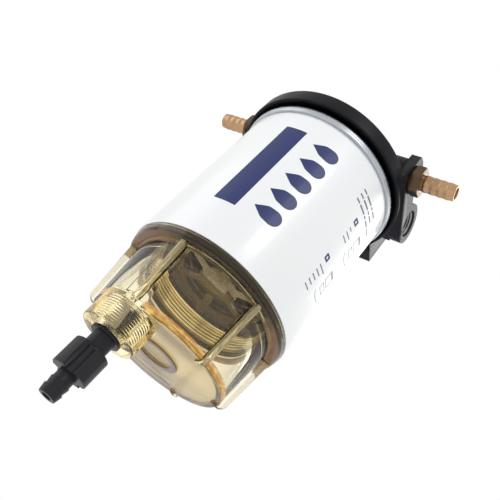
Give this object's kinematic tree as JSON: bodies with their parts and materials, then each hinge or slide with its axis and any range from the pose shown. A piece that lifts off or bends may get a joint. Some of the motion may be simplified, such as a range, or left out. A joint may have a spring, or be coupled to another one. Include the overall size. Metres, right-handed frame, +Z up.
{
  "type": "fuel water separator",
  "caption": "Spin-on fuel filter and water separator: cast head with hose barbs and wall plate, white can, clear ribbed sediment bowl and drain valve.",
  "frame": {"origin": "midway between the two bolt slots, on the back face of the wall plate", "axes": "+Z up along the can's axis, from the drain to the head; +Y out of the wall plate's back face, into the wall; +X to the right, seen from the front"},
  "size_m": [0.1546, 0.1017, 0.2413],
  "materials": {
    "head_paint": "satin black",
    "can_enamel": "gloss white enamel",
    "zinc_steel": "bright zinc plate",
    "spring_steel": "oiled",
    "brass": "turned",
    "clear_amber": "clear amber moulded plastic",
    "black_plastic": "satin",
    "rubber": "matt",
    "filter_paper": "coated paper"
  },
  "bodies": {
    "head": {"head_casting": "head_paint", "centre_nipple": "zinc_steel", "left_hose_barb": "brass", "right_hose_barb": "brass"},
    "can_seal": {"top_gasket": "rubber"},
    "can": {"can_shell": "can_enamel", "seam_ring": "zinc_steel", "tapping_plate": "zinc_steel", "inner_grommet": "rubber", "upper_end_cap": "black_plastic", "pleated_element": "filter_paper", "centre_tube": "zinc_steel", "lower_end_cap": "black_plastic", "element_spring": "spring_steel", "support_plate": "black_plastic", "lower_thread_ring": "zinc_steel"},
    "bowl_seal": {"bowl_gasket": "rubber"},
    "bowl": {"bowl": "clear_amber", "drain_seat": "black_plastic"},
    "drain_seal": {"drain_oring": "rubber"},
    "drain": {"drain_valve": "black_plastic"}
  },
  "joints": [
    {"name": "can_drop", "type": "slide", "parent": "head", "child": "can_seal", "axis": [0, 0, -1], "range_m": [0, 0.00817]},
    {"name": "can_turn", "type": "hinge", "parent": "can_seal", "child": "can", "pos_m": [0, -0.05, -0.0826], "axis": [0, 0, -1], "range_deg": [0, 1620]},
    {"name": "bowl_drop", "type": "slide", "parent": "can", "child": "bowl_seal", "axis": [0, 0, -1], "range_m": [0, 0.01]},
    {"name": "bowl_turn", "type": "hinge", "parent": "bowl_seal", "child": "bowl", "pos_m": [0, -0.05, -0.1526], "axis": [0, 0, -1], "range_deg": [0, 1800]},
    {"name": "drain_drop", "type": "slide", "parent": "bowl", "child": "drain_seal", "axis": [0, 0, -1], "range_m": [0, 0.00375]},
    {"name": "drain_turn", "type": "hinge", "parent": "drain_seal", "child": "drain", "pos_m": [-0.006, -0.077, -0.1976], "axis": [0, 0, -1], "range_deg": [0, 1080.1]}
  ],
  "couplings": [
    {"joint": "can_drop", "follows": "can_turn", "m_per_rad": 0.00028876},
    {"joint": "bowl_drop", "follows": "bowl_turn", "m_per_rad": 0.00031831},
    {"joint": "drain_turn", "follows": "drain_drop", "rad_per_m": 5026.5}
  ]
}
